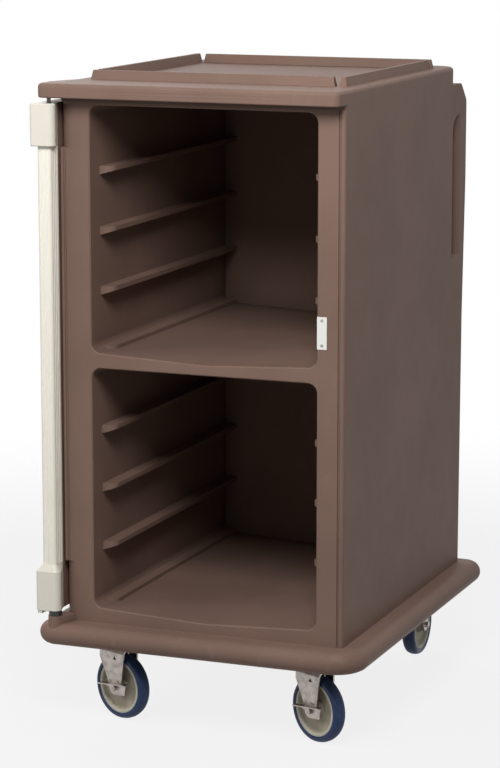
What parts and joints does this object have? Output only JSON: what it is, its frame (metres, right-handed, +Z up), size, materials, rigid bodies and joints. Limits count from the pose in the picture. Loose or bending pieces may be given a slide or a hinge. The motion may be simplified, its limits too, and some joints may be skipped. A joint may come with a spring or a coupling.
{
  "type": "enclosed meal tray cart",
  "caption": "Moulded meal tray cart with stacked bays of tray slides, a door that folds right back along one side, a bumper base, swivel casters with foot brakes and rigid casters.",
  "frame": {"origin": "on the floor under the middle of the cabinet and its bumper base", "axes": "+Z up; -Y out of the front, where the bays open; +X to the right as seen by someone facing the front"},
  "size_m": [0.766, 0.932, 1.4536],
  "materials": {
    "mocha_shell": "lightly textured moulded polyethylene, warm grey-brown, satin",
    "mocha_door": "lightly textured moulded polyethylene, warm grey-brown, satin",
    "cream_fittings": "off-white moulded and extruded plastic, satin",
    "white_strike": "white moulded plastic, satin",
    "black_nylon": "black bearing plastic, satin",
    "dark_pin": "blackened steel, oiled",
    "brushed_latch": "brushed stainless steel",
    "zinc_steel": "zinc-plated pressed steel, lightly scuffed",
    "blue_tyre": "dark blue non-marking elastomer, satin",
    "putty_core": "grey-cream moulded wheel core, satin"
  },
  "bodies": {
    "cabinet": {"cabinet_shell": "mocha_shell", "left_tray_slides": "mocha_shell", "right_tray_slides": "mocha_shell", "top_deck": "mocha_shell", "deck_rails": "mocha_shell", "base_bumper": "mocha_shell", "latch_strike": "white_strike", "strike_screws": "zinc_steel", "upper_hinge_pin": "dark_pin", "lower_hinge_pin": "dark_pin", "hinge_washer": "black_nylon", "caster_bolts": "zinc_steel", "front_left_plate": "zinc_steel", "front_left_race": "zinc_steel", "front_left_kingpin": "zinc_steel", "front_right_plate": "zinc_steel", "front_right_race": "zinc_steel", "front_right_kingpin": "zinc_steel", "rear_left_fork": "zinc_steel", "rear_left_axle": "zinc_steel", "rear_right_fork": "zinc_steel", "rear_right_axle": "zinc_steel"},
    "door": {"door_panel": "mocha_door", "door_hinge_stile": "cream_fittings", "upper_hinge_block": "cream_fittings", "lower_hinge_block": "cream_fittings", "upper_hinge_bush": "black_nylon", "lower_hinge_bush": "black_nylon", "hinge_block_screws": "zinc_steel", "latch_cup": "brushed_latch", "latch_bush": "black_nylon"},
    "latch": {"latch_handle": "brushed_latch", "latch_cam": "brushed_latch"},
    "front_left_swivel": {"front_left_fork": "zinc_steel", "front_left_axle": "zinc_steel"},
    "front_left_brake": {"front_left_brake": "zinc_steel"},
    "front_left_wheel": {"front_left_core": "putty_core", "front_left_bush": "black_nylon", "front_left_tyre": "blue_tyre"},
    "front_right_swivel": {"front_right_fork": "zinc_steel", "front_right_axle": "zinc_steel"},
    "front_right_brake": {"front_right_brake": "zinc_steel"},
    "front_right_wheel": {"front_right_core": "putty_core", "front_right_bush": "black_nylon", "front_right_tyre": "blue_tyre"},
    "rear_left_wheel": {"rear_left_core": "putty_core", "rear_left_bush": "black_nylon", "rear_left_tyre": "blue_tyre"},
    "rear_right_wheel": {"rear_right_core": "putty_core", "rear_right_bush": "black_nylon", "rear_right_tyre": "blue_tyre"}
  },
  "joints": [
    {"name": "door_hinge", "type": "hinge", "parent": "cabinet", "child": "door", "pos_m": [-0.338, -0.445, 0.7168], "axis": [0, 0, 1], "range_deg": [0, 270]},
    {"name": "latch_turn", "type": "hinge", "parent": "door", "child": "latch", "pos_m": [-0.338, 0.137, 0.92], "axis": [1, 0, 0], "range_deg": [0, 90]},
    {"name": "front_left_swivel_turn", "type": "hinge", "parent": "cabinet", "child": "front_left_swivel", "pos_m": [-0.236, -0.342, 0.1826], "axis": [0, 0, 1], "continuous": true},
    {"name": "front_left_wheel_spin", "type": "hinge", "parent": "front_left_swivel", "child": "front_left_wheel", "pos_m": [-0.21746, -0.34949, 0.075], "axis": [-0.3746, -0.9272, 0], "continuous": true},
    {"name": "front_left_brake_press", "type": "hinge", "parent": "front_left_swivel", "child": "front_left_brake", "pos_m": [-0.21746, -0.34949, 0.075], "axis": [-0.3746, -0.9272, 0], "range_deg": [-16, 0]},
    {"name": "front_right_swivel_turn", "type": "hinge", "parent": "cabinet", "child": "front_right_swivel", "pos_m": [0.236, -0.342, 0.1826], "axis": [0, 0, 1], "continuous": true},
    {"name": "front_right_wheel_spin", "type": "hinge", "parent": "front_right_swivel", "child": "front_right_wheel", "pos_m": [0.25366, -0.35139, 0.075], "axis": [-0.4695, -0.8829, 0], "continuous": true},
    {"name": "front_right_brake_press", "type": "hinge", "parent": "front_right_swivel", "child": "front_right_brake", "pos_m": [0.25366, -0.35139, 0.075], "axis": [-0.4695, -0.8829, 0], "range_deg": [-16, 0]},
    {"name": "rear_left_wheel_spin", "type": "hinge", "parent": "cabinet", "child": "rear_left_wheel", "pos_m": [-0.236, 0.389, 0.075], "axis": [1, 0, 0], "continuous": true},
    {"name": "rear_right_wheel_spin", "type": "hinge", "parent": "cabinet", "child": "rear_right_wheel", "pos_m": [0.236, 0.389, 0.075], "axis": [1, 0, 0], "continuous": true}
  ]
}
